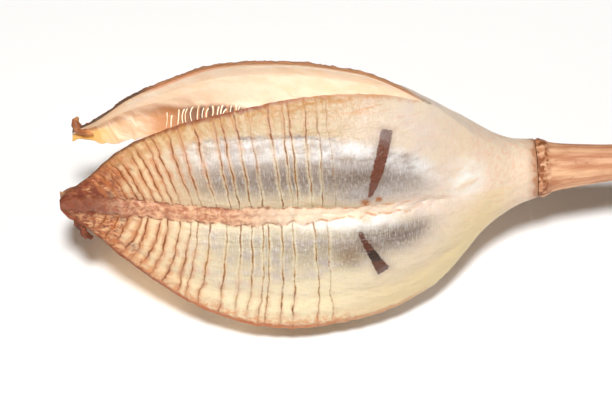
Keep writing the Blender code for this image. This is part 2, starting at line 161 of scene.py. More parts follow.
def smooth_curve(stations):
    """A smooth function through (distance, value) pairs that never overshoots them, level beyond its ends."""
    at, value = (np.array(column, float) for column in zip(*stations))
    secant = np.diff(value) / np.diff(at)
    before, after = secant[:-1], secant[1:]
    steady = before * after > 0
    middle = np.where(steady, 2 * before * after / np.where(steady, before + after, 1), 0)
    slope = np.concatenate([secant[:1], middle, secant[-1:]])

    def read(s):
        s = np.clip(np.asarray(s, float), at[0], at[-1])
        i = np.clip(np.searchsorted(at, s, side="right") - 1, 0, len(at) - 2)
        span = at[i + 1] - at[i]
        t = (s - at[i]) / span
        start = value[i] * (1 + 2 * t) * (1 - t) ** 2 + slope[i] * span * t * (1 - t) ** 2
        end = value[i + 1] * t * t * (3 - 2 * t) - slope[i + 1] * span * t * t * (1 - t)
        return start + end

    return read


def ramp(x, start, end):
    t = np.clip((np.asarray(x, float) - start) / (end - start), 0, 1)
    return t * t * (3 - 2 * t)


corner_radius = smooth_curve(CORNER_RADIUS)
groove_share = smooth_curve(GROOVE_SHARE)
bulge_share = smooth_curve(BULGE_SHARE)
rib_wander = smooth_curve(RIB_WANDER)
sag = smooth_curve(SAG)
vein_lean = smooth_curve(VEIN_LEAN)
septum_depth = smooth_curve(SEPTUM_DEPTH)
stem_radius = smooth_curve(STEM_RADIUS)


class Valve:
    """One valve. Where v > 0, flare bends the margin out and near_bulge scales the bulge. shortfall and lift
    shorten and raise the tip, and rows is how finely the mesh is cut across.
    """

    def __init__(self, number, facing, opening, drift, narrowing, flare, near_bulge, shortfall, lift, rows):
        self.number, self.flare, self.near_bulge, self.lift = number, flare, near_bulge, lift
        self.outward = (math.cos(math.radians(facing)), math.sin(math.radians(facing)))
        self.across = (-self.outward[1], self.outward[0])
        self.drift = smooth_curve(drift)
        self.narrowing = smooth_curve(narrowing)
        self.v = np.linspace(-1, 1, rows)
        at = np.linspace(0, LENGTH, 501)
        turn = np.radians(smooth_curve(opening)(at))
        step = at[1] - at[0]
        along = np.concatenate([[0], np.cumsum(np.cos(turn[1:]) * step)]) - shortfall * ramp(at, 26, 50)
        rise = np.concatenate([[0], np.cumsum(np.sin(turn[1:]) * step)])
        self.line, self.rise, self.turn = (lambda s, c=c: np.interp(s, at, c) for c in (along, rise, turn))

    def outer(self, s, v):
        """p and q of the smooth outer face: round at the base, folded along the rib further on."""
        w = np.abs(v)
        radius = corner_radius(s) * self.narrowing(s)
        angle = np.radians(60) * v
        groove = groove_share(s) * radius
        edge = 0.5 * radius
        bulge = bulge_share(s) * radius * np.where(v < 0, 1.0, self.near_bulge)
        q = groove + (edge - groove) * w + bulge * np.sin(np.pi * w**0.8)
        q = q - 0.02 * radius * np.exp(-(((w - 0.68) / 0.07) ** 2))
        p = radius * HALF_SHARE * v
        flat = ramp(s, 1.5, 13)
        p = (1 - flat) * radius * np.sin(angle) + flat * p
        q = (1 - flat) * radius * np.cos(angle) + flat * q
        flared = ramp(w, 0.62, 1.05) * ramp(v, 0, 0.1) * ramp(s, 12, 20) * (1 - ramp(s, 38, 48))
        return p + rib_wander(s) * (1 - w) ** 2, q + self.flare * flared

    def place(self, s, p, q):
        """Points in millimetres about the collar."""
        turn = self.turn(s)
        outward = self.rise(s) + q * np.cos(turn) + self.lift * ramp(s, 34, 44)
        across = p + self.drift(s)
        return np.stack([
            -self.line(s) + q * np.sin(turn),
            outward * self.outward[0] + across * self.across[0] - SAG_Y * sag(s),
            outward * self.outward[1] + across * self.across[1] - SAG_Z * sag(s),
        ], axis=-1)


VALVES = (
    Valve(0, 150, FRONT_OPENING, FRONT_DRIFT, EVEN, 0.0, 1.0, 0.0, 0.0, 125),
    Valve(1, 270, UNDER_OPENING, LEVEL, EVEN, 0.0, 1.0, 0.0, 0.0, 65),
    Valve(2, 30, BACK_OPENING, LEVEL, BACK_NARROWING, 0.8, 0.35, 1.1, 0.55, 65),
)


# The fine mesh stays this far above the surface, in metres.
LOWEST = 0.00002


def added(name, data):
    """A new object in the scene."""
    made = bpy.data.objects.new(name, data)
    bpy.context.scene.collection.objects.link(made)
    return made


def to_row(points):
    """Millimetres about the collar's middle to the row's metres."""
    low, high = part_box("stem")
    collar = (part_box("capsule")[1].x, (low.y + high.y) / 2, (low.z + high.z) / 2)
    return np.asarray(points) * MM + np.array(collar)


class Waves:
    """Smooth seeded noise between about -1 and 1: a sum of sines in slanting directions."""

    def __init__(self, wavelength, stretch=1.0):
        count = 9
        angle = NOISE.uniform(0, np.pi, count)
        size = 2 * np.pi / (wavelength * NOISE.uniform(0.7, 1.5, count))
        self.x, self.y = size * np.cos(angle), size * np.sin(angle) / stretch
        self.phase = NOISE.uniform(0, 2 * np.pi, count)

    def __call__(self, x, y):
        total = sum(np.sin(a * x + b * y + c) for a, b, c in zip(self.x, self.y, self.phase))
        return total / math.sqrt(len(self.x))


def cells(x, y, size, seed):
    """Distance from the nearest border between irregular cells, in units of a cell."""
    u, v = x / size, y / size
    iu, iv = np.floor(u), np.floor(v)
    first = np.full(u.shape, FAR_OFF)
    second = np.full(u.shape, FAR_OFF)
    for du in (-1, 0, 1):
        for dv in (-1, 0, 1):
            a, b = iu + du, iv + dv
            ra = np.modf(np.abs(np.sin(a * 127.1 + b * 311.7 + seed) * 43758.5453))[0]
            rb = np.modf(np.abs(np.sin(a * 269.5 + b * 183.3 + seed) * 43758.5453))[0]
            d = np.hypot(a + 0.15 + 0.7 * ra - u, b + 0.15 + 0.7 * rb - v)
            second = np.minimum(second, np.maximum(first, d))
            first = np.minimum(first, d)
    return second - first


def vein_field(valve, s):
    """A number that is whole on each cross vein, the veins' spacing and the nearest one's strength."""
    number, pitch, strength = np.zeros_like(s), np.ones_like(s), np.zeros_like(s)
    for starts, lean, on_side in ((UPPER_VEINS, 1.0, valve.v < 0), (LOWER_VEINS, 0.95, valve.v >= 0)):
        starts = np.array(starts)
        count = len(starts)
        if valve.number:
            starts = starts + NOISE.uniform(-0.3, 0.3, count)
        bend = NOISE.uniform(-0.13, 0.13, count)
        power = NOISE.uniform(0.6, 1.25, count)
        phase = NOISE.uniform(0, 6.3, count)
        strong = NOISE.uniform(0.45, 1.0, count)
        numbers = np.arange(count + 2)
        for j in np.nonzero(on_side)[0]:
            w = abs(valve.v[j])
            path = starts + vein_lean(starts) * w**1.2 * lean
            path = path + bend * np.sin(5 * w + phase)
            path = path + 0.05 * np.sin(21 * w + 3 * phase) + 0.03 * np.sin(47 * w + phase)
            path = path + 0.16 * (ramp(w, 0.7, 0.76) - 0.5 * ramp(w, 0.8, 1)) * np.sin(7 * phase)
            path = np.maximum.accumulate(path + np.arange(count) * 1e-4)
            path = np.concatenate([[path[0] - 30], path, [path[-1] + 20]])
            number[:, j] = np.interp(s[:, j], path, numbers)
            pitch[:, j] = np.interp(number[:, j], numbers, np.gradient(path))
            fade = strong * (1 - 0.55 * ramp(w, 0.1 + 0.5 * (power - 0.6), 1.0) * (power < 0.9))
            nearest = np.clip(np.rint(number[:, j]).astype(int), 0, count + 1)
            strength[:, j] = np.concatenate([[0], fade, [0]])[nearest]
    return number, pitch, strength


def seed_field(s, p):
    """Distance outside the nearest seed strip, negative inside it, and how far along the strip."""
    best = np.full(s.shape, FAR_OFF)
    share = np.zeros_like(s)
    for (s0, p0), (s1, p1), halves in SEED_STRIPS:
        ds, dp = s1 - s0, p1 - p0
        length = math.hypot(ds, dp)
        t = ((s - s0) * ds + (p - p0) * dp) / length**2
        off = np.abs((s - s0) * dp - (p - p0) * ds) / length
        half = np.interp(t, (0, 0.6, 1), halves)
        d = np.maximum(off - half, np.maximum(-t, t - 1) * length)
        share = np.where(d < best, t, share)
        best = np.minimum(best, d)
    return best, share


ROLL, WART, RIPPLE, FRAY = Waves(5.5), Waves(1.0, 1.5), Waves(1.7, 2.5), Waves(1.3)


def rounded_end(s, p):
    """The valves' tips, drawn in to a round end over the last millimetre."""
    return p * (1 - 0.55 * np.clip((s - 48.9) / 1.1, 0, 1) ** 2)


def split_gap(s, v, shift):
    """How far a margin stands back from its neighbour, a little frayed."""
    return 0.22 * ramp(s, SPLIT, SPLIT + 2.5) + 0.035 * ramp(s, 13, 18) * FRAY(s, v * 3 + shift)


def cord_ridge(s, p, away, dome):
    """Height of the rib: a warty cord towards the tip, with a fine groove along its middle near the base."""
    ridge = dome * (0.1 + 0.3 * ramp(s, 20, 27)) * ramp(s, 9, 15) * (1 - 0.6 * ramp(s, 45, 50))
    ridge = ridge * (1 + 0.34 * WART(s, p) * ramp(s, 20, 27))
    return ridge - 0.12 * np.exp(-((away / 0.16) ** 2)) * ramp(s, 10, 14) * (1 - ramp(s, 23, 27))


def painted_hollow_shade(s, v):
    """How much painted shade of the dark hollow shows through the wall."""
    w = np.abs(v)
    upper = smooth_curve(UPPER_HOLLOW_SHADE)(s) * np.exp(-(((w - UPPER_DARK_AT) / UPPER_DARK_REACH) ** 2))
    lower = smooth_curve(LOWER_HOLLOW_SHADE)(s) * np.exp(-(((w - LOWER_DARK_AT) / LOWER_DARK_REACH) ** 2))
    return np.where(v < 0, upper, lower)


def outer_sheet(valve, columns):
    """Points and fields of a valve's outer face, a row of v for each column of s."""
    s, v = np.meshgrid(columns, valve.v, indexing="ij")
    w = np.abs(v)
    p, q = valve.outer(s, v)
    shift = VALVE_SHIFT * valve.number
    half = corner_radius(s) * valve.narrowing(s) * HALF_SHARE
    middle = rib_wander(s) + 0.09 * WART(s * 0.5, 3.0 + 0 * s) * ramp(s, 22, 28)
    away = np.abs(p - middle)
    edge = (1 - w) * half
    number, pitch, strength = vein_field(valve, s)
    on_vein = np.abs(number - np.rint(number)) * pitch
    veined = strength * ramp(s, 20.6, 23) * ramp(away, 0.5, 1.3) * (1 - ramp(s, 44.5, 48))
    net = cells(0.55 * s + 0.3 * FRAY(s, p), p + shift + 0.3 * FRAY(p, s), 1.15, shift)
    tip = ramp(s - 0.12 * edge + 0.7 * FRAY(s * 0.7, p + shift), 40.5, 47.0)
    cord = 0.34 + 0.21 * ramp(s, 12, 20) + 0.35 * ramp(s, 20, 26) - 0.25 * ramp(s, 44, 49)
    cord = cord + 0.1 * WART(s * 0.6, np.sign(v) * 4 + shift)
    dome = np.sqrt(np.clip(1 - (away / cord) ** 2, 0, 1))
    beside = valve.outer(s, np.where(v < 0, -1, 1) * np.maximum(w, 0.8 * cord / half))[1]
    q = q + (beside - q) * ramp(s, 9, 14)
    height = 0.13 * veined * np.exp(-((on_vein / 0.13) ** 2))
    height -= 0.05 * veined * np.cos(2 * np.pi * number)
    height += tip * 0.13 * (1 - ramp(net, 0.0, 0.35)) - tip * 0.05
    height += 0.07 * ROLL(s, p + shift) * ramp(s, 3, 9) * ramp(edge, 0.5, 3)
    height += 0.012 * RIPPLE(s, p + shift)
    height = height * (1 - dome * ramp(s, 12, 20)) + cord_ridge(s, p + shift, away, dome)
    height += 0.04 * np.exp(-((edge / 0.3) ** 2)) * (1 + FRAY(s * 1.3, v * 3 + shift)) * ramp(s, 12, 16)
    p = p - np.sign(v) * split_gap(s, v, shift) * ramp(w, 0.9, 1.0)
    crease = (w - np.where(v < 0, smooth_curve(UPPER_CREASE)(s), smooth_curve(LOWER_CREASE)(s))) * half
    zero = np.zeros_like(s)
    seed, along = seed_field(s, p) if valve.number == 0 else (zero + FAR_OFF, zero)
    fields = dict(
        s_mm=s, p_mm=p - middle, edge_mm=edge, crease_mm=crease, vein=number, vein_pitch=pitch,
        vein_amp=veined, net=net, tip=tip, seed_mm=seed, seed_along=along, inner=zero, cord=cord,
        depth=zero, dark=painted_hollow_shade(s, v), across=v,
    )
    return valve.place(s, rounded_end(s, p), q + height), fields


def bezier(a, b, c, t):
    return (1 - t) ** 2 * a + 2 * t * (1 - t) * b + t * t * c


def seed_line(s, top):
    """How far out along the septum the seeds hung."""
    return top - 1.6 * (1 - 0.45 * ramp(s, 42, 50)) - septum_depth(s)


def septum_end(valve, s, top):
    """The septum's free edge. The opened valve's hangs below the line of seeds towards the tip."""
    deeper = 1.3 * ramp(s, 29, 36) * (1 - ramp(s, 45, 49.5)) if valve.number == 2 else 0.0
    return seed_line(s, top) - deeper


def inner_wall(valve, s, v):
    """The inner face of the wall itself, a wall's thickness in from the outer face."""
    step = 0.01
    p0, q0 = valve.outer(s, v - step)
    p1, q1 = valve.outer(s, v + step)
    length = np.hypot(p1 - p0, q1 - q0)
    p, q = valve.outer(s, v)
    wall = (0.32 + 0.25 * ramp(1 - np.abs(v), 0.0, 0.3)) * (1 - 0.3 * ramp(s, 42, 50))
    return p + wall * (q1 - q0) / length, q - wall * (p1 - p0) / length


def inner_half(valve, s, side):
    """p, q, distance from the margin and height over the line of seeds, from margin to septum."""
    p, q = inner_wall(valve, s, side * WALL_W[None, :])
    gap = split_gap(s, side, VALVE_SHIFT * valve.number)
    p = p - side * gap * ramp(WALL_W, 0.9, 1.0)[None, :]
    centre, top = valve.outer(s, np.zeros_like(s))
    end, hung = septum_end(valve, s, top), seed_line(s, top)
    top = top - 0.6
    half = 0.28 + 0.06 * np.cos(s)
    root = top - np.minimum(2.6, 0.45 * (top - end))
    cove, plate = COVE_T[None, :], PLATE_T[None, :]
    cove_p = bezier(p[:, -1:], centre + side * half, centre + side * half, cove)
    cove_q = bezier(q[:, -1:], np.minimum(q[:, -1:], top), root, cove)
    frayed = end + 0.12 * FRAY(s * 1.4, 0.3)
    plate_p = centre + side * half * (1 - 0.6 * plate**3) + 0.12 * np.sin(s * 0.9) * plate
    plate_q = root + (frayed - root) * plate
    edge = np.broadcast_to((1 - WALL_W)[None, :] * corner_radius(s) * HALF_SHARE, p.shape)
    beyond = np.full((len(s), len(COVE_T) + len(PLATE_T)), FAR_OFF)
    rows = (
        (p, cove_p, plate_p),
        (q, cove_q, plate_q),
        (edge, beyond),
        (np.full(p.shape, FAR_OFF), cove_q - hung, plate_q - hung),
    )
    return [np.concatenate(row, axis=1) for row in rows]


def inner_sheet(valve, columns):
    """Points and fields of a valve's inner face, from margin to margin round the septum."""
    s = np.asarray(columns)[:, None]
    near, far = inner_half(valve, s, -1), inner_half(valve, s, 1)
    p, q, edge, depth = (np.concatenate([a, b[:, ::-1]], axis=1) for a, b in zip(near, far))
    s = np.broadcast_to(s, p.shape)
    zero = np.zeros_like(p)
    far_off = zero + FAR_OFF
    step = np.hypot(np.diff(p, axis=1, prepend=p[:, :1]), np.diff(q, axis=1, prepend=q[:, :1]))
    fields = dict(
        s_mm=s, p_mm=np.cumsum(step, axis=1) + 5, edge_mm=edge, crease_mm=far_off, vein=zero,
        vein_pitch=zero + 1, vein_amp=zero, net=zero + 1, tip=ramp(s, 42, 47) * 0.6, seed_mm=far_off,
        seed_along=zero, inner=zero + 1, cord=zero, depth=depth, dark=zero, across=zero,
    )
    return valve.place(s, rounded_end(s, p), q), fields


class Sheets:
    """Gathers sheets of points into one mesh. Fields are kept per face corner, so valves can share points."""

    def __init__(self):
        self.points, self.quad_blocks, self.faces = [], [], []
        self.fields, self.same = {}, {}
        self.count = 0

    def add(self, points, fields, number):
        """Takes one sheet in and returns its points' numbers, in rows and columns."""
        shape = points.shape[:2]
        numbers = self.count + np.arange(shape[0] * shape[1]).reshape(shape)
        self.points.append(points.reshape(-1, 3))
        for name, values in dict(fields, valve=float(number)).items():
            self.fields.setdefault(name, []).append(np.broadcast_to(values, shape).reshape(-1))
        self.count += numbers.size
        return numbers

    def quads(self, grid, flip=False):
        a, b, c, d = grid[:-1, :-1], grid[:-1, 1:], grid[1:, 1:], grid[1:, :-1]
        order = (a, d, c, b) if flip else (a, b, c, d)
        self.quad_blocks.append(np.stack(order, axis=-1).reshape(-1, 4))

    def weld(self, a, b):
        """The points numbered a and b become one, halfway between."""
        self.same.update(zip(b.tolist(), a.tolist()))

    def merged_points(self):
        """The points left after welding, and where each point that went in has its place among them."""
        points = np.concatenate(self.points)
        merged = np.arange(len(points))
        for b, a in self.same.items():
            points[a] = (points[a] + points[b]) / 2
            merged[b] = a
        used, index = np.unique(merged, return_inverse=True)
        return points[used], index

    def make(self, name):
        points, index = self.merged_points()
        placed = to_row(points)
        placed[:, 2] = np.maximum(placed[:, 2], LOWEST)
        quads = np.concatenate(self.quad_blocks)
        sides = np.concatenate([np.full(len(quads), 4), [len(face) for face in self.faces]])
        corner = np.concatenate([quads.reshape(-1), *self.faces])
        mesh = bpy.data.meshes.new(name)
        mesh.vertices.add(len(placed))
        mesh.vertices.foreach_set("co", placed.reshape(-1).astype(np.float32))
        mesh.loops.add(len(corner))
        mesh.loops.foreach_set("vertex_index", index[corner].astype(np.int32))
        mesh.polygons.add(len(sides))
        mesh.polygons.foreach_set("loop_start", (np.cumsum(sides) - sides).astype(np.int32))
        mesh.update(calc_edges=True)
        for field, values in self.fields.items():
            values = np.concatenate(values)
            layer = mesh.attributes.new(field, "FLOAT", "CORNER")
            layer.data.foreach_set("value", values[corner].astype(np.float32))
        mesh.shade_smooth()
        mesh.set_sharp_from_angle(angle=math.radians(62))
        return added(name, mesh)


def capsule_columns():
    """The outer face's distances, the place of the split, and the places that the inner face shares."""
    neck = np.linspace(0, SPLIT, 38)
    body = np.linspace(SPLIT, 20, 31)[1:]
    fine = np.linspace(20, 50, 205)[1:]
    columns = np.concatenate([neck, body, fine])
    split = len(neck) - 1
    cavity = int(np.argmin(np.abs(columns - CAVITY)))
    inner = sorted(set(range(cavity, len(columns), 3)) | {split, len(columns) - 1})
    return columns, split, inner


def fine_capsule(material):
    """The three valves in one closed mesh. Past the split, narrow faces join outside to inside."""
    columns, split, inner = capsule_columns()
    sheets = Sheets()
    grids = []
    for valve in VALVES:
        outside = sheets.add(*outer_sheet(valve, columns), valve.number)
        grids.append((outside, sheets.add(*inner_sheet(valve, columns[inner]), valve.number)))
    shared = [n for n, i in enumerate(inner) if i <= split]
    for (outside, inside), (next_outside, next_inside) in zip(grids, grids[1:] + grids[:1]):
        sheets.quads(outside)
        sheets.quads(inside, flip=True)
        sheets.weld(outside[: split + 1, -1], next_outside[: split + 1, 0])
        sheets.weld(inside[shared, -1], next_inside[shared, 0])
        for n, (a, b) in enumerate(zip(inner, inner[1:])):
            if a >= split:
                sheets.faces.append([*outside[a : b + 1, 0], inside[n + 1, 0], inside[n, 0]])
                sheets.faces.append([*outside[a : b + 1, -1][::-1], inside[n, -1], inside[n + 1, -1]])
        sheets.faces.append([*outside[-1], *inside[-1][::-1]])
    sheets.faces.append([n for _, inside in grids for n in inside[0, :-1]])
    sheets.faces.append([n for outside, _ in grids[::-1] for n in outside[0, :0:-1]])
    made = sheets.make("capsule_fine")
    made.data.materials.append(material)
    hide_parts("capsule")
    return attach(made, "root")


def tube(name, path, radii, sides, material, lumps=None):
    """A closed tube along a path, in millimetres about the collar. lumps(along, angle) adds to the radius."""
    path = [np.array(point, float) for point in path]
    points, along = [], 0.0
    for i, (point, radius) in enumerate(zip(path, radii)):
        heading = path[min(i + 1, len(path) - 1)] - path[max(i - 1, 0)]
        heading /= np.linalg.norm(heading)
        side = np.cross(heading, (0, 0, 1))
        side /= np.linalg.norm(side)
        up = np.cross(side, heading)
        along += np.linalg.norm(point - path[i - 1]) if i else 0.0
        for n in range(sides):
            angle = 2 * math.pi * n / sides
            r = radius + (lumps(along, angle) if lumps else 0.0)
            points.append(point + r * (math.cos(angle) * up + math.sin(angle) * side))
    faces = []
    for i in range(len(path) - 1):
        for n in range(sides):
            a, b = i * sides + n, i * sides + (n + 1) % sides
            faces.append([a, b, b + sides, a + sides])
    faces.append(list(range(sides))[::-1])
    faces.append(list(range(len(points) - sides, len(points))))
    mesh = bpy.data.meshes.new(name)
    mesh.from_pydata(to_row(points).tolist(), [], faces)
    mesh.update()
    mesh.shade_smooth()
    mesh.set_sharp_from_angle(angle=math.radians(50))
    mesh.materials.append(material)
    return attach(added(name, mesh), "root")


def fine_stem(material):
    """The stalk, with furrows along it and a lumpy ring at the collar."""
    count = 9
    streaks = [(NOISE.integers(5, 30), NOISE.uniform(0, 6.3), NOISE.uniform(0.2, 0.7)) for _ in range(count)]
    lump = Waves(0.9)

    def lumps(x, angle):
        ring = math.exp(-(((x - 0.45) / 0.45) ** 2))
        furrow = sum(math.sin(n * angle + phase + rate * x * 0.3) for n, phase, rate in streaks) / count
        return 0.05 * furrow - 0.05 + ring * (0.07 * float(lump(x, angle * 3)) - 0.02)

    x = np.concatenate([np.linspace(0, 2, 21), np.linspace(2, STEM_LENGTH, 66)[1:]])
    path = [(a + 0.3 * ramp(a, -0.6, 1.2), 0.3 * (a / STEM_LENGTH) ** 2, 0.0) for a in x]
    made = tube("stem_fine", path, [float(stem_radius(a)) for a in x], 72, material, lumps)
    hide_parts("stem")


def outer_point(valve, s, v):
    """p and q of one point of a valve's outer face."""
    return (float(x) for x in valve.outer(np.array(s), np.array(v)))


def fringe(material):
    """Short pale fibres along the inner edge of the back valve's septum, where seeds hung."""
    valve, count = VALVES[2], 28
    for n in range(count):
        s = 27.5 + 12.2 * (n / (count - 1)) ** 1.2 + NOISE.uniform(-0.13, 0.13)
        centre, top = outer_point(valve, s, 0.0)
        end = float(seed_line(s, top)) - 0.75
        long = NOISE.uniform(1.2, 1.9)
        lean = NOISE.uniform(-0.15, 0.35)
        thick = NOISE.uniform(0.75, 1.35)
        path = []
        for t in np.linspace(0, 1, 5):
            bow = math.sin(math.pi * t)
            path.append(valve.place(s + lean * bow, centre + 0.36 + 0.18 * bow, end + long * (1 - t) + 0.02))
        radii = [thick * radius for radius in (0.08, 0.06, 0.05, 0.045, 0.02)]
        tube(f"fibre_{n:02d}", path, radii, 5, material)


def tip_hook(material):
    """The dry curl at the back valve's tip, in steps of s, p and q from the tip's corner."""
    valve, s = VALVES[2], 49.6
    p, q = outer_point(valve, s, 1.0)
    p = float(rounded_end(s, p))
    steps = (
        (-1.9, -0.5, -0.5), (-1.0, -0.4, -0.35), (-0.3, -0.1, 0.0), (0.0, 0.1, 0.45), (0.0, 0.2, 0.85),
        (-0.25, 0.2, 1.2),
    )
    path = [valve.place(s + a, p + b, q + c) for a, b, c in steps]
    tube("tip_hook", path, (0.1, 0.4, 0.54, 0.5, 0.38, 0.14), 12, material)


def stigma(material):
    """The shrivelled lobe at the front valve's tip, in steps of s and p, with three pieces to a step."""
    valve, s = VALVES[0], 48.1
    p, q = outer_point(valve, s, 1.0)
    steps = ((0.2, -0.75), (0.3, -0.1), (-0.2, 0.5), (-0.4, 1.2), (-1.15, 1.8))
    coarse = [valve.place(s + a, p + b, q - 0.5) for a, b in steps]
    path = [a * (1 - t) + b * t for a, b in zip(coarse, coarse[1:]) for t in (0, 0.33, 0.67)] + coarse[-1:]
    radii = np.interp(np.linspace(0, 4, len(path)), range(5), (0.34, 0.42, 0.34, 0.38, 0.2))
    lump = Waves(0.7)
    made = tube("stigma_lobe", path, radii, 14, material, lambda x, a: 0.07 * float(lump(x, a)))


class Shade:
    """A material's nodes, made by short calls. Colours are given as the eye sees them, from 0 to 255."""

    def __init__(self, name, roughness):
        self.material = bpy.data.materials.new(name)
        self.material.use_nodes = True
        self.tree = self.material.node_tree
        self.surface = self.tree.nodes["Principled BSDF"]
        self.put(self.surface, "Roughness", roughness)
        self.bump = None

    def put(self, node, socket, value):
        target = node.inputs[socket]
        if isinstance(value, bpy.types.NodeSocket):
            self.tree.links.new(value, target)
        elif isinstance(value, tuple) and len(value) == 3 and target.type == "RGBA":
            target.default_value = (*(linear(c) for c in value), 1)
        else:
            target.default_value = value

    def node(self, kind, **values):
        node = self.tree.nodes.new("ShaderNode" + kind)
        for socket, value in values.items():
            self.put(node, socket, value)
        return node

    def field(self, name):
        node = self.node("Attribute")
        node.attribute_name = name
        return node.outputs["Fac"]

    def place(self):
        return self.node("TexCoord").outputs["Object"]

    def math(self, operation, a, b=0.0):
        node = self.node("Math")
        node.operation = operation
        self.put(node, 0, a)
        self.put(node, 1, b)
        return node.outputs[0]

    def smooth(self, x, start, end):
        """0 at start and 1 at end, smooth in between, in either direction."""
        ends = {"From Min": min(start, end), "From Max": max(start, end)}
        node = self.node("MapRange", Value=x, **ends, **{"To Min": start > end, "To Max": start < end})
        node.interpolation_type = "SMOOTHSTEP"
        return node.outputs["Result"]

    def times(self, *factors):
        total = factors[0]
        for factor in factors[1:]:
            total = self.math("MULTIPLY", total, factor)
        return total

    def plus(self, a, b):
        return self.math("ADD", a, b)

    def minus(self, a, b):
        return self.math("SUBTRACT", a, b)

    def most(self, a, b):
        return self.math("MAXIMUM", a, b)

    def absolute(self, x):
        return self.math("ABSOLUTE", x)

    def centred(self, noise, amount):
        """Noise moved to about 0 and made larger or smaller."""
        return self.times(self.minus(noise, 0.5), amount)

    def near(self, x, centre, reach, core=0.0):
        """1 where x is within core of centre, fading to 0 at reach."""
        return self.smooth(self.absolute(self.minus(x, centre)), reach, core)

    def mix(self, share, a, b):
        node = self.node("Mix")
        node.data_type = "RGBA"
        self.put(node, 0, share)
        self.put(node, 6, a)
        self.put(node, 7, b)
        return node.outputs[2]

    def over(self, under, colour, *shares):
        """A colour laid over another, as far as the product of the shares."""
        return self.mix(self.times(*shares), under, colour)

    def vector(self, x, y, z):
        return self.node("CombineXYZ", X=x, Y=y, Z=z).outputs[0]

    def noise(self, where, scale, detail=2.0, rough=0.5):
        return self.node("TexNoise", Vector=where, Scale=scale, Detail=detail, Roughness=rough).outputs["Fac"]

    def raised(self, height, distance):
        node = self.node("Bump", Distance=distance, Height=height)
        if self.bump is not None:
            self.put(node, "Normal", self.bump)
        self.bump = node.outputs["Normal"]

    def finish(self, colour, roughness=None):
        self.put(self.surface, "Base Color", colour)
        if roughness is not None:
            self.put(self.surface, "Roughness", roughness)
        if self.bump is not None:
            self.put(self.surface, "Normal", self.bump)
        return self.material


def linear(value):
    c = value / 255
    return c / 12.92 if c <= 0.04045 else ((c + 0.055) / 1.055) ** 2.4


WALL_FIELDS = (
    "s_mm", "p_mm", "edge_mm", "crease_mm", "vein", "vein_pitch", "vein_amp", "net", "tip", "seed_mm",
    "seed_along", "inner", "cord", "depth", "dark", "across", "valve",
)


class WallShade(Shade):
    """The wall's material, with the fields, masks and noises that its layers of colour share."""

    def __init__(self, name, roughness):
        super().__init__(name, roughness)
        for field in WALL_FIELDS:
            setattr(self, field, self.field(field))
        shift = self.times(self.valve, 31.0)
        self.flat = self.vector(self.s_mm, self.p_mm, shift)
        self.fibres = self.stretched(5.0, 1.1, shift, 1.0, 4.0, 0.75)
        self.grain = self.noise(self.flat, 3.2, 3.0, 0.6)
        self.clouds = self.noise(self.flat, 0.35)
        self.patches = self.stretched(0.5, 1.0, shift, 0.9, 3.0)
        self.streaks = self.stretched(0.25, 1.6, shift, 1.0, 3.0)
        self.away = self.absolute(self.p_mm)
        self.outside = self.smooth(self.inner, 0.6, 0.4)
        self.upper = self.smooth(self.across, 0.04, -0.04)
        self.lower = self.minus(1.0, self.upper)
        self.front = self.smooth(self.valve, 0.6, 0.4)
        self.back = self.smooth(self.valve, 1.4, 1.6)

    def paint(self, colour, *shares):
        self.colour = self.over(self.colour, colour, *shares)

    def along(self, start, end):
        """0 at the distance start from the collar and 1 at end."""
        return self.smooth(self.s_mm, start, end)

    def jitter(self, amount, scale, detail=2.0):
        return self.centred(self.noise(self.flat, scale, detail), amount)

    def stretched(self, s_scale, p_scale, shift, scale, detail=2.0, rough=0.5):
        """Noise over the wall, drawn out along s or across it."""
        where = self.vector(self.times(self.s_mm, s_scale), self.times(self.p_mm, p_scale), shift)
        return self.noise(where, scale, detail, rough)


def ground(m):
    """Cream at the base and neck, warmer and more yellow in the flanges and towards the tip."""
    cream = m.mix(m.smooth(m.clouds, 0.35, 0.65), BASE_PINK, BASE_CREAM)
    cream = m.over(cream, NECK_CREAM, m.along(12, 6), 0.7)
    blush = m.times(m.smooth(m.noise(m.flat, 2.2, 4.0, 0.6), 0.46, 0.62), m.along(13, 3))
    cream = m.over(cream, NECK_BLUSH, blush, 0.6)
    m.colour = m.mix(m.along(14, 24), cream, m.mix(m.upper, LOWER_FLANGE, UPPER_FLANGE))
    m.paint(PALE, m.smooth(m.fibres, 0.35, 0.8), 0.25)
    m.paint(TAN, m.smooth(m.grain, 0.56, 0.72), m.along(10, 20), 0.35)
    streak = m.times(m.smooth(m.streaks, 0.52, 0.68), m.upper, m.smooth(m.edge_mm, 4.5, 0.5))
    m.paint(ORANGE, streak, m.along(9, 13), m.along(24, 19), 0.55)
    m.paint(PEACH, m.along(32, 41), m.outside, 0.85)


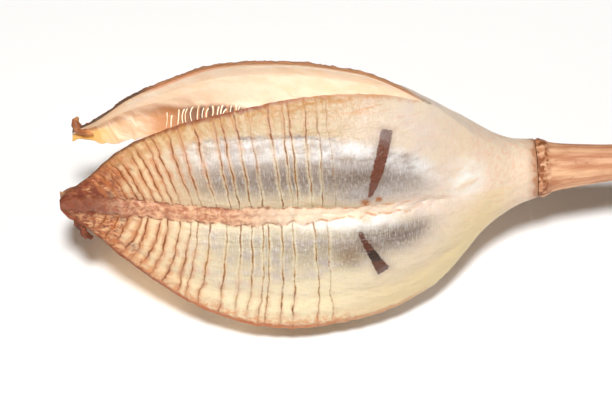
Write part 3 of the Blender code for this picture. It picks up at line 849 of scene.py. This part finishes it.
def silver_skin(m):
    """The thin pearly wall over the hollow, with painted shade mid-half and at the upper crease, painted
    highlights near it and the rib.
    """
    ragged = m.plus(m.crease_mm, m.centred(m.grain, 0.9))
    border = m.times(m.smooth(ragged, 0.6, -0.7), m.upper)
    border = m.plus(border, m.times(m.smooth(ragged, 2.2, -2.0), m.lower))
    skin = m.times(border, m.smooth(m.away, 0.6, 2.0), m.along(8.5, 14.5), m.along(42, 32), m.outside)
    silver = m.mix(m.smooth(m.fibres, 0.2, 0.8), SILVER_LOW, SILVER_HIGH)
    silver = m.over(silver, LILAC, m.smooth(m.clouds, 0.42, 0.6), 0.55)
    silver = m.over(silver, SILVER_BELOW, m.lower, m.smooth(m.patches, 0.3, 0.6))
    silver = m.over(silver, NEAR_RIB, m.smooth(m.away, 4.6, 1.4), m.upper, m.along(20, 24))
    # Painted shade of the dark hollow behind the thin wall.
    hollow_shade_colour = m.mix(m.smooth(m.grain, 0.3, 0.7), SHADE_DEEP, SHADE_PALE)
    silver = m.over(silver, hollow_shade_colour, m.dark, m.plus(0.56, m.times(m.patches, 0.8)))
    # Painted highlight near the upper crease.
    painted_highlight = m.times(m.smooth(m.crease_mm, -3.4, -1.0), m.smooth(m.patches, 0.28, 0.66), m.upper)
    silver = m.over(silver, HIGHLIGHT_WHITE, painted_highlight, m.plus(0.55, m.times(m.fibres, 0.7)))
    # Fine white streaks: partly the skin's pale fibres, partly painted glints.
    fibre_glints = m.smooth(m.stretched(8.5, 1.3, 5.0, 1.0, 3.0), 0.45, 0.85)
    silver = m.over(silver, HIGHLIGHT_WHITE, fibre_glints, 0.55)
    # Painted highlight in a band just below the rib.
    rib_highlight = m.times(m.smooth(m.p_mm, 0.3, 0.8), m.smooth(m.p_mm, 2.2, 1.0), m.along(14, 18))
    rib_highlight = m.times(rib_highlight, m.along(32, 20), m.smooth(m.clouds, 0.3, 0.5))
    m.paint(silver, skin, 0.94)
    m.paint(HIGHLIGHT_WHITE, rib_highlight, m.outside, 0.75)
    # Painted shade along the upper crease.
    shade = m.times(m.near(ragged, 0.0, 0.36), m.along(18, 24), m.along(38, 32), m.upper, m.outside)
    m.paint(LILAC_DARK, shade, m.smooth(m.patches, 0.4, 0.6), 0.7)
    return skin


def tip_net(m):
    """Red-brown streaks and a darker net over paler cells, closing up towards the tip."""
    tip = m.times(m.tip, m.outside)
    mottle = m.stretched(1.0, 1.9, m.valve, 1.1, 4.0, 0.65)
    cell = m.mix(m.smooth(m.plus(mottle, m.times(m.upper, -0.08)), 0.42, 0.6), CELL_DARK, CELL_PALE)
    m.paint(cell, m.smooth(tip, 0.0, 0.7), 0.92)
    lines = m.times(m.smooth(m.net, 0.3, 0.0), m.smooth(mottle, 0.7, 0.35), m.smooth(tip, 0.15, 0.5))
    branch = m.near(m.stretched(0.45, 1.0, m.valve, 0.75, 1.2), 0.5, 0.06)
    branch = m.times(branch, m.along(40, 44), m.outside, m.smooth(mottle, 0.7, 0.4))
    m.paint(NET_BROWN, m.most(lines, branch), 0.75)
    end = m.times(m.smooth(m.plus(m.s_mm, m.times(m.upper, 2.5)), 44.4, 50.4), m.smooth(mottle, 0.75, 0.35))
    m.paint(TIP_RED, m.most(end, m.along(46.8, 50.2)), m.outside, 0.85)
    crown = m.times(m.smooth(m.plus(m.away, m.times(mottle, 2.0)), 3.1, 1.6), m.along(40, 44.5))
    m.paint(TIP_RED, crown, m.outside, 0.7)


def cross_veins(m, skin):
    """Brown lines across the flanges with soft bands beside them, paler and more olive over the skin."""
    off = m.times(m.absolute(m.minus(m.vein, m.math("ROUND", m.vein))), m.vein_pitch)
    wavy = m.plus(off, m.jitter(0.14, 2.6))
    wavy = m.plus(wavy, m.times(m.smooth(m.noise(m.flat, 0.8, 1.0), 0.44, 0.6), 0.05))
    halo = m.times(m.smooth(off, 0.36, 0.12), m.smooth(m.vein_amp, 0.1, 0.6))
    halo = m.times(halo, m.plus(0.05, m.times(m.grain, 0.7)), skin)
    m.paint(HALO, halo)
    nearer = m.smooth(m.plus(m.edge_mm, m.times(m.s_mm, -0.3)), 0.5, -7.0)
    band = m.plus(off, m.jitter(0.9, 1.1))
    soft = m.times(m.smooth(band, 0.5, 0.0), m.smooth(m.vein_amp, 0.0, 0.5), nearer)
    m.paint(VEIN_SOFT, soft, m.plus(0.35, m.times(m.along(30, 42), 0.4)))
    fading = m.smooth(m.stretched(1.2, 0.35, 3.0, 1.0, 1.0), 0.34, 0.56)
    line = m.times(m.smooth(wavy, 0.15, 0.04), m.smooth(m.vein_amp, 0.0, 0.6), m.outside)
    line = m.times(line, m.plus(0.4, m.times(fading, 0.6)))
    olive = m.times(m.smooth(m.noise(m.flat, 0.5, 1.0), 0.42, 0.58), m.smooth(m.upper, 0.6, 0.4))
    ink = m.mix(m.times(olive, m.along(39, 34)), VEIN_BROWN, VEIN_OLIVE)
    ink = m.over(ink, VEIN_OLIVE, skin, m.smooth(m.fibres, 0.35, 0.6), 0.7)
    m.paint(ink, line, m.plus(0.62, m.times(m.grain, 0.6)))
    return wavy


def rib_cord(m):
    """A barky cord along the rib, pink near the base and red-brown at the tip, with a thread on each side."""
    rough = m.times(m.jitter(m.along(22, 30), 1.5, 3.0), 0.8)
    wide = m.plus(m.cord, m.plus(rough, m.jitter(0.5, 0.6, 1.0)))
    out = m.minus(m.away, wide)
    rib = m.times(m.smooth(out, 0.14, -0.14), m.along(12, 22), m.outside)
    lumps = m.stretched(0.8, 1.2, m.valve, 1.5, 3.0, 0.65)
    bark = m.mix(m.smooth(lumps, 0.36, 0.64), RIB_DARK, RIB_PALE)
    bark = m.over(bark, RIB_PINK, m.along(34, 24))
    bark = m.over(bark, TIP_RED, m.along(41, 47.5), m.plus(0.45, m.times(lumps, 0.7)))
    m.paint(bark, rib, 0.9)
    thread = m.times(m.near(out, 0.0, 0.2, 0.03), m.outside, m.along(11, 16), m.smooth(lumps, 0.62, 0.4))
    m.paint(m.mix(m.along(20, 31), ORANGE, RIB_EDGE), thread, 0.85)


def margins(m):
    """A warm tint and a dark line along each margin, yellow below the front rib, a scar at the collar."""
    tint = m.times(m.smooth(m.edge_mm, 2.8, 0.2), m.along(14, 24), m.outside)
    tint = m.times(tint, m.plus(0.3, m.smooth(m.noise(m.flat, 1.6, 3.0), 0.4, 0.62)), m.along(47, 42))
    m.paint(m.mix(m.upper, ORANGE, TAN), tint, 0.9)
    olive = m.times(m.smooth(m.edge_mm, 8.5, 1.0), m.smooth(m.upper, 0.6, 0.4), m.along(25, 15))
    m.paint(BASE_YELLOW, olive, m.front, m.outside, m.along(1, 6), 0.8)
    brim = m.plus(m.edge_mm, m.jitter(0.9, 1.3, 3.0))
    line = m.times(m.smooth(m.plus(brim, m.times(m.upper, 0.3)), 1.0, 0.3), m.along(11, 16), m.outside)
    strength = m.plus(0.6, m.times(m.along(18, 32), 0.35))
    brown = m.mix(m.along(18, 30), MARGIN_TAN, MARGIN_RED)
    brown = m.over(brown, MARGIN_BROWN, m.along(38, 43))
    brown = m.over(brown, RIM_ORANGE, m.back, m.along(42, 39))
    orange = m.mix(m.along(36, 43), MARGIN_ORANGE, MARGIN_RED)
    m.paint(m.mix(m.upper, orange, brown), line, strength)
    torn = m.plus(m.s_mm, m.jitter(1.6, 1.1, 3.0))
    scar = m.plus(m.times(m.smooth(torn, 1.4, 0.2), 0.45), m.times(m.smooth(torn, 0.6, 0.2), 0.4))
    m.paint(SCAR, scar, m.outside)


def inner_face(m):
    """Smooth cream, a tan band and a white thread by the margin, and painted shade in the pocket and behind
    the fibres where seeds hung.
    """
    inside = m.inner
    m.paint(m.mix(m.smooth(m.clouds, 0.4, 0.6), INSIDE_CREAM, INSIDE_PEACH), inside)
    warm = m.times(m.along(31, 35), m.along(42.5, 40))
    m.paint(m.mix(warm, RIM_TAN, RIM_WARM), inside, m.smooth(m.edge_mm, 1.25, 0.7), 0.8)
    m.paint(THREAD_AND_HIGHLIGHT_WHITE, inside, m.near(m.edge_mm, 1.45, 0.28, 0.05), m.along(34, 28))
    rim = m.times(m.smooth(inside, 0.0, 0.3), m.smooth(m.edge_mm, 0.26, 0.0), m.along(11, 15))
    brown = m.mix(m.along(40, 43), RIM_ORANGE, MARGIN_BROWN)
    m.paint(brown, rim, m.smooth(m.grain, 0.2, 0.5), 0.9)
    m.paint(TIP_RED, inside, m.along(43, 48), m.smooth(m.valve, 1.6, 1.4), 0.9)
    folds = m.stretched(0.3, 1.0, 2.0, 1.1, 3.0)
    # Painted shade in the folded pocket towards the tip.
    m.paint(POCKET_SHADE_TAN, inside, m.smooth(m.depth, 3.0, 0.5), m.along(33, 38), m.smooth(folds, 0.2, 0.75), 0.85)
    # Painted shade in the gaps behind the fibres, along the line where seeds hung.
    deep = m.plus(m.depth, m.times(m.along(36.5, 41), -0.8))
    shade_behind_fibres = m.times(inside, m.smooth(deep, 1.25, 0.6), m.along(25, 29), m.along(44.0, 39.6))
    window = m.most(m.smooth(m.stretched(2.2, 0.0, 0.0, 1.0, 1.0), 0.46, 0.6), m.along(36, 40))
    m.paint(m.mix(window, FIBRE_GAP_SHADE, FIBRE_GAP_SHADE_TAN), shade_behind_fibres, 0.95)
    m.paint(GOLD, inside, m.along(44, 48), m.smooth(m.depth, 1.2, 0.3), m.back, 0.8)


def spot(m, s, p, reach):
    """1 at one place on the front valve, fading to 0 within reach of it."""
    return m.times(m.near(m.s_mm, s, reach), m.near(m.p_mm, p, reach), m.front, m.outside)


def marks_and_highlight(m):
    """A brown bruise below the rib, two small marks above it, and a painted highlight where the neck begins.
    """
    rough = m.smooth(m.grain, 0.3, 0.55)
    m.paint(BRUISE, spot(m, 20.6, 4.2, 2.2), rough, 0.8)
    for s, p, reach in ((18.6, -1.1, 0.75), (17.2, -1.3, 0.6)):
        m.paint(SPOT, spot(m, s, p, reach), m.plus(0.4, rough))
    # Painted highlight where the neck begins.
    m.paint(THREAD_AND_HIGHLIGHT_WHITE, spot(m, 7.6, -1.7, 3.2), m.smooth(m.patches, 0.3, 0.6), 0.85)


def seeds_behind(m):
    """The seeds stand edge-on against the inside of the wall, so they show through it as dark strips."""
    edge = m.plus(m.seed_mm, m.jitter(0.3, 3.2, 3.0))
    below = m.smooth(m.p_mm, 0, 1)
    coat = m.mix(m.most(m.smooth(m.seed_along, 0.1, 0.25), below), SEED_GREY, SEED_RED)
    slanted = m.plus(m.seed_along, m.times(m.s_mm, 0.09))
    coat = m.over(coat, SEED_BLACK, m.near(slanted, 2.2, 0.14, 0.07), below, 0.85)
    coat = m.over(coat, SEED_GREY, m.smooth(m.seed_along, 0.86, 0.95), below, 0.8)
    coat = m.over(coat, SEED_ORANGE, m.smooth(m.grain, 0.5, 0.7), 0.4)
    coat = m.over(coat, SEED_BLACK, below, 0.35)
    # Painted shade around the seed strips.
    m.paint(SHADE_PALE, m.smooth(m.seed_mm, 0.8, 0.0), m.outside, 0.3)
    m.paint(coat, m.smooth(edge, 0.08, -0.06), m.outside, 0.95)


def wall_material():
    m = WallShade("dry_wall_fine", 0.45)
    ground(m)
    skin = silver_skin(m)
    tip_net(m)
    wavy = cross_veins(m, skin)
    for layer in (rib_cord, margins, marks_and_highlight, seeds_behind, inner_face):
        layer(m)
    m.raised(m.times(m.fibres, m.plus(0.4, skin)), 0.00006)
    m.raised(m.grain, 0.00006)
    m.raised(m.patches, 0.00035)
    m.raised(m.smooth(wavy, 0.2, 0.02), 0.00003)
    m.put(m.surface, "Subsurface Weight", 0.25)
    m.put(m.surface, "Subsurface Radius", (1.0, 0.75, 0.5))
    m.put(m.surface, "Subsurface Scale", 0.0015)
    roughness = m.plus(0.42, m.times(skin, -0.14))
    return m.finish(m.colour, m.plus(roughness, m.times(m.plus(m.tip, m.inner), 0.2)))


def stalk_material():
    """Pink-brown with pale streaks along it, browner and spotted on the collar."""
    m = Shade("stalk_fine", 0.6)
    place = m.place()
    x, y, z = m.node("SeparateXYZ", Vector=place).outputs
    streak = m.noise(m.vector(m.times(x, 60.0), m.times(y, 1400.0), m.times(z, 1400.0)), 1.0, 4.0, 0.6)
    grain = m.noise(place, 1500.0, 3.0)
    colour = m.mix(m.smooth(streak, 0.3, 0.7), STALK_DARK, STALK_PALE)
    colour = m.over(colour, STALK_FLECK, m.smooth(grain, 0.58, 0.75), 0.5)
    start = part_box("stem")[0].x
    ring = m.smooth(x, start + 1.3 * MM, start + 0.7 * MM)
    colour = m.over(colour, COLLAR_BROWN, ring, m.smooth(grain, 0.4, 0.6))
    colour = m.over(colour, COLLAR_SPOT, ring, m.smooth(m.noise(place, 900.0), 0.56, 0.64))
    m.raised(streak, 0.0001)
    m.raised(grain, 0.00005)
    return m.finish(colour)


def seed_material():
    m = Shade("seed_coat_fine", 0.5)
    place = m.place()
    colour = m.mix(m.smooth(m.noise(place, 400.0), 0.35, 0.65), COAT_PALE, COAT_DARK)
    m.raised(m.noise(place, 1500.0, 3.0), 0.00005)
    return m.finish(colour)


def plain(name, dark, light, scale):
    m = Shade(name, 0.55)
    grain = m.noise(m.place(), scale, 3.0)
    m.raised(grain, 0.00005)
    return m.finish(m.mix(m.smooth(grain, 0.35, 0.65), dark, light))


def floor():
    mesh = bpy.data.meshes.new("floor")
    mesh.from_pydata([(-3, -3, 0), (3, -3, 0), (3, 3, 0), (-3, 3, 0)], [], [(0, 1, 2, 3)])
    mesh.materials.append(Shade("floor", 0.7).finish(WHITEST))
    added("floor", mesh)


def lamp(name, kind, power, colour):
    data = bpy.data.lights.new(name, kind)
    data.energy = power
    data.color = colour
    return added(name, data)


def light(name, direction, distance, size, power, colour):
    """A round lamp that looks at the row's middle from a direction."""
    made = lamp(name, "AREA", power, colour)
    made.data.shape = "DISK"
    made.data.size = size
    made.location = Vector(direction).normalized() * distance
    made.rotation_euler = Vector(direction).to_track_quat("Z", "Y").to_euler()


def light_inside():
    """Small lamps on the capsule's axis, for the light that comes through its thin walls."""
    for s, power in ((15.0, 0.0006), (23.0, 0.001), (31.0, 0.0009), (38.0, 0.0005)):
        made = lamp("inside", "POINT", power, (1.0, 0.98, 0.97))
        made.data.shadow_soft_size = 0.0015
        made.location = to_row([-s, 0.5, 1.0])
        made.visible_camera = False


def light_below():
    """Lamps under the lower margin, for the warm light that the papery wall lets into its own shadow."""
    for place, turn, length in (((-42.3, -4.3, -7.5), -47, 0.012), ((-28.0, -10.7, -7.5), 3, 0.014)):
        made = lamp("below", "AREA", 0.00008, (1.0, 0.74, 0.44))
        made.data.shape = "RECTANGLE"
        made.data.size, made.data.size_y = length, 0.0025
        made.location = to_row(place)
        made.rotation_euler = (0.0, 0.0, math.radians(turn))
        made.visible_camera = False


def camera():
    """50 degrees down and rolled 3.64, with the collar at pixel 535, 168 of a photograph 612 x 408."""
    distance, width = 300.0, 64.38
    pixel = width / 612
    roll = math.radians(3.64)
    along, up, back = np.array([(1.0, 0.0, 0.0), (0.0, 0.766, 0.6428), (0.0, -0.6428, 0.766)])
    right = math.cos(roll) * along - math.sin(roll) * up
    rise = math.sin(roll) * along + math.cos(roll) * up
    aim = -(right * (535 - 306) + rise * (204 - 168)) * pixel
    made = added("camera", bpy.data.cameras.new("camera"))
    made.data.sensor_width = 36.0
    made.data.lens = 36.0 * distance / width
    made.data.clip_start = 0.01
    place = to_row(aim + distance * back)
    turn = np.stack([right, rise, back, place], axis=1).tolist()
    made.matrix_world = Matrix([*turn, [0, 0, 0, 1]])
    bpy.context.scene.camera = made


def world():
    data = bpy.data.worlds.new("studio")
    bpy.context.scene.world = data
    data.use_nodes = True
    background = data.node_tree.nodes["Background"]
    background.inputs["Color"].default_value = (1.0, 0.88, 0.73, 1)
    background.inputs["Strength"].default_value = 0.15


def main():
    fine_capsule(wall_material())
    fine_stem(stalk_material())
    fringe(plain("fibre_pale", FIBRE_DARK, FIBRE_PALE, 900.0))
    stigma(plain("stigma_brown", STIGMA_DARK, STIGMA_PALE, 1200.0))
    tip_hook(plain("hook_brown", HOOK_DARK, HOOK_PALE, 700.0))
    coat = seed_material()
    for name in ("seed_upper", "seed_lower", "seed_middle", "seed_neck"):
        node = frame["nodes"][name]
        node.data.materials.clear()
        node.data.materials.append(coat)
    floor()
    light("key", (0.0, -0.375, 0.927), 0.7, 0.12, 4.7, (0.98, 0.995, 1.0))
    light("fill", (-0.9, -0.4, 0.3), 0.9, 0.6, 0.6, (1.0, 0.98, 0.94))
    light_inside()
    light_below()
    world()
    bpy.context.scene.view_settings.view_transform = "Standard"
    camera()


main()
